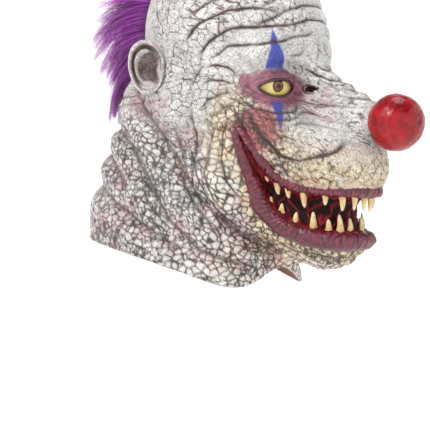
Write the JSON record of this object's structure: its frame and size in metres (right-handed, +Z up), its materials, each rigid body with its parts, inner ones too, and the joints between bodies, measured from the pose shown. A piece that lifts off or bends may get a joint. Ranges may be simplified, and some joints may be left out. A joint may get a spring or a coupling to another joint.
{
  "type": "clown mask",
  "caption": "Over-the-head latex clown mask with a neck skirt, round red nose, wide toothy grin, ears and a purple strip of hair.",
  "frame": {"origin": "inside of the crown, where the top of the wearer's head meets the mask", "axes": "+Z up along the worn head, -Y the way the face looks, +X to the wearer's left"},
  "size_m": [0.2592, 0.5087, 0.5255],
  "materials": {
    "latex_white": "satin",
    "lip_plum": "satin",
    "gum_dark_red": "satin",
    "nose_red": "gloss",
    "tooth_ivory": "satin",
    "eye_yellow": "gloss",
    "hair_purple": "satin"
  },
  "bodies": {
    "root": {"mask_shell": "latex_white", "lip_roll": "lip_plum", "mouth_lining": "gum_dark_red", "nose_ball": "nose_red", "eye_left": "eye_yellow", "eye_right": "eye_yellow", "hair_strip": "hair_purple", "tooth_upper_l1": "tooth_ivory", "tooth_upper_l2": "tooth_ivory", "tooth_upper_l3": "tooth_ivory", "tooth_upper_l4": "tooth_ivory", "tooth_upper_l5": "tooth_ivory", "tooth_upper_l6": "tooth_ivory", "tooth_upper_l7": "tooth_ivory", "tooth_upper_l8": "tooth_ivory", "tooth_upper_r1": "tooth_ivory", "tooth_upper_r2": "tooth_ivory", "tooth_upper_r3": "tooth_ivory", "tooth_upper_r4": "tooth_ivory", "tooth_upper_r5": "tooth_ivory", "tooth_upper_r6": "tooth_ivory", "tooth_upper_r7": "tooth_ivory", "tooth_upper_r8": "tooth_ivory", "tooth_lower_l1": "tooth_ivory", "tooth_lower_l2": "tooth_ivory", "tooth_lower_l3": "tooth_ivory", "tooth_lower_l4": "tooth_ivory", "tooth_lower_l5": "tooth_ivory", "tooth_lower_l6": "tooth_ivory", "tooth_lower_l7": "tooth_ivory", "tooth_lower_r1": "tooth_ivory", "tooth_lower_r2": "tooth_ivory", "tooth_lower_r3": "tooth_ivory", "tooth_lower_r4": "tooth_ivory", "tooth_lower_r5": "tooth_ivory", "tooth_lower_r6": "tooth_ivory", "tooth_lower_r7": "tooth_ivory"}
  },
  "joints": []
}
